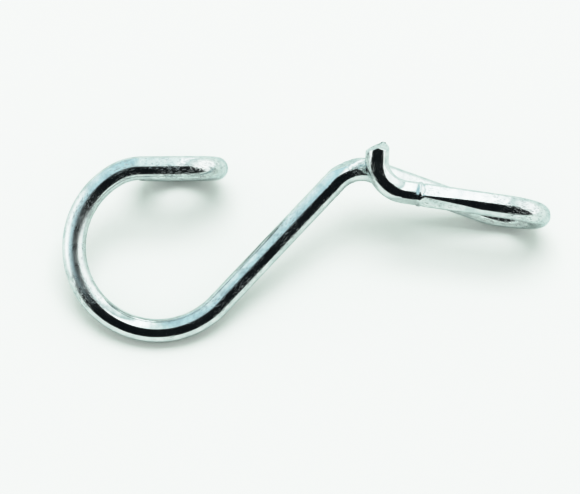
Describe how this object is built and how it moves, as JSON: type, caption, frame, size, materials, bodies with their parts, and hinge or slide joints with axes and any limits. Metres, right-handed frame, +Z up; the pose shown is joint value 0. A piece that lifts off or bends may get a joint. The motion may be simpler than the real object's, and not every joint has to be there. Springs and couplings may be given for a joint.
{
  "type": "meat hook",
  "caption": "Zinc-plated hook bent from one round steel wire: an open bowl with a small curl at its mouth, a straight shank and a narrow closed eye with a sheared tail.",
  "frame": {"origin": "centre of the base of the hook's box, on the table that the hook lies on", "axes": "+X along the hook from the bowl to the eye, +Z up from the table, +Y across the hook from the bowl's low side to its curl"},
  "size_m": [0.1038, 0.043, 0.0265],
  "materials": {
    "zinc_plated_wire": "bright zinc plating with a faint blue cast, smooth and mirror-like, with fine drawing lines along the wire and bending-tool marks"
  },
  "bodies": {
    "root": {"hook_wire": "zinc_plated_wire"}
  },
  "joints": []
}
